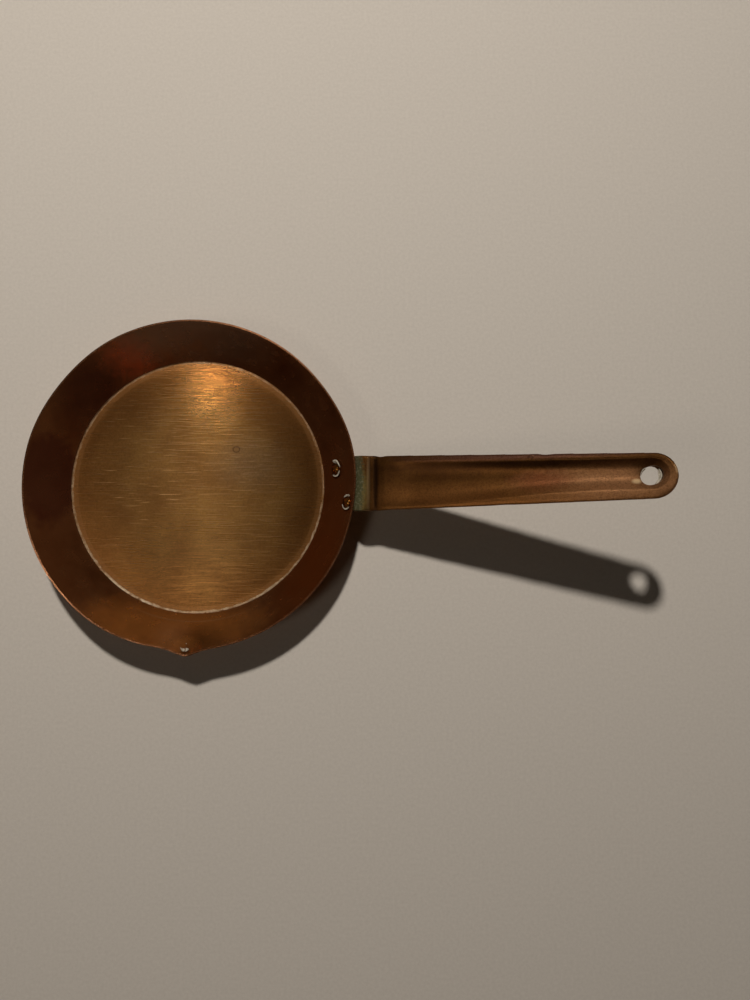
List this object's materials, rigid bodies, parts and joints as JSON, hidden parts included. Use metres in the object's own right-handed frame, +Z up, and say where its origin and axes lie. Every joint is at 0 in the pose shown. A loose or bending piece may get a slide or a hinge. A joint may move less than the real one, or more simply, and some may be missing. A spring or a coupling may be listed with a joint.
{
  "type": "copper saucepan",
  "caption": "Small shallow flared copper pan with a pinched pouring lip and a riveted, grooved strip handle with a hanging hole.",
  "frame": {"origin": "centre of the pan's flat underside, on the surface it stands on", "axes": "+X runs out along the handle, +Z up out of the bowl, the pouring lip points along -Y"},
  "size_m": [0.2231, 0.1217, 0.0524],
  "materials": {
    "pan_copper": "sanded satin copper floor, polished and tarnished copper wall",
    "handle_copper": "brown toned pressed copper, half polished",
    "rivet_copper": "peened copper with a brown tone"
  },
  "bodies": {
    "root": {"pan_body": "pan_copper", "handle": "handle_copper", "low_rivet": "rivet_copper", "high_rivet": "rivet_copper"}
  },
  "joints": []
}
